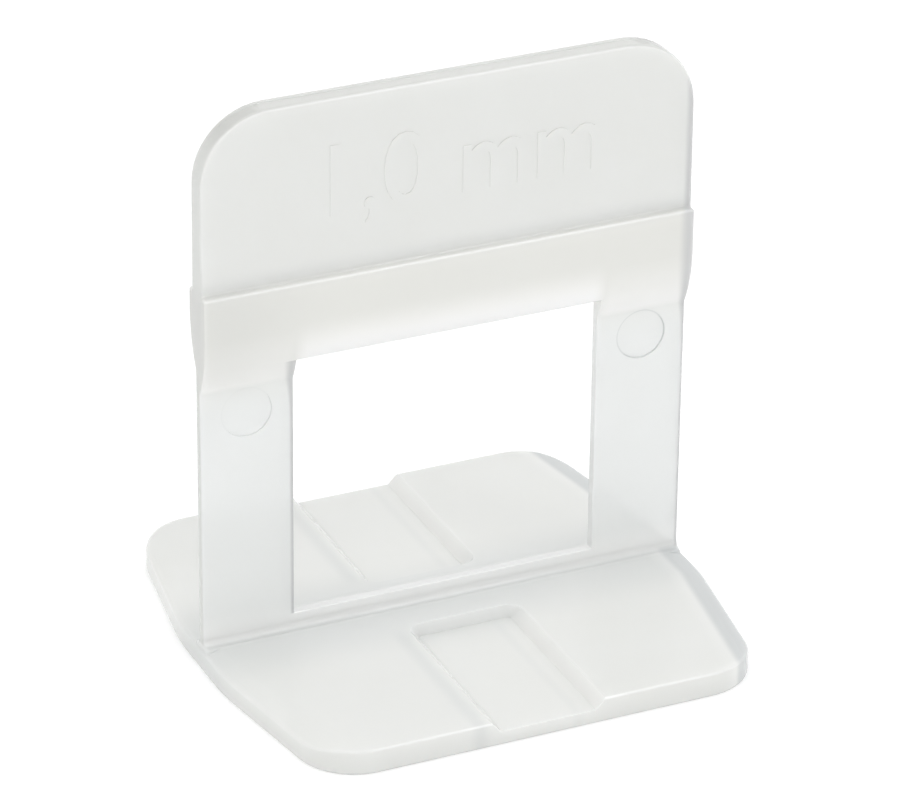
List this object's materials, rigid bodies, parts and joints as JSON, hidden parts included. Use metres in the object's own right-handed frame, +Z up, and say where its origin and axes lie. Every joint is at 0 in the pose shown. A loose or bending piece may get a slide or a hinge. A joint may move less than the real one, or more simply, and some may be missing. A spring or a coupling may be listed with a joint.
{
  "type": "tile levelling clip",
  "caption": "Translucent plastic tile levelling clip: flat base with shallow channels, thin legs round a wedge window, thick crossbar and round-cornered grip tab.",
  "frame": {"origin": "centre of the base plate's underside", "axes": "+X along the tile joint and the upright's width, -Y the front tile's side, +Z up towards the grip tab"},
  "size_m": [0.0502, 0.048, 0.0572],
  "materials": {
    "natural_polypropylene": "smooth, milky, slightly translucent moulded plastic"
  },
  "bodies": {
    "root": {"levelling_clip": "natural_polypropylene"}
  },
  "joints": []
}
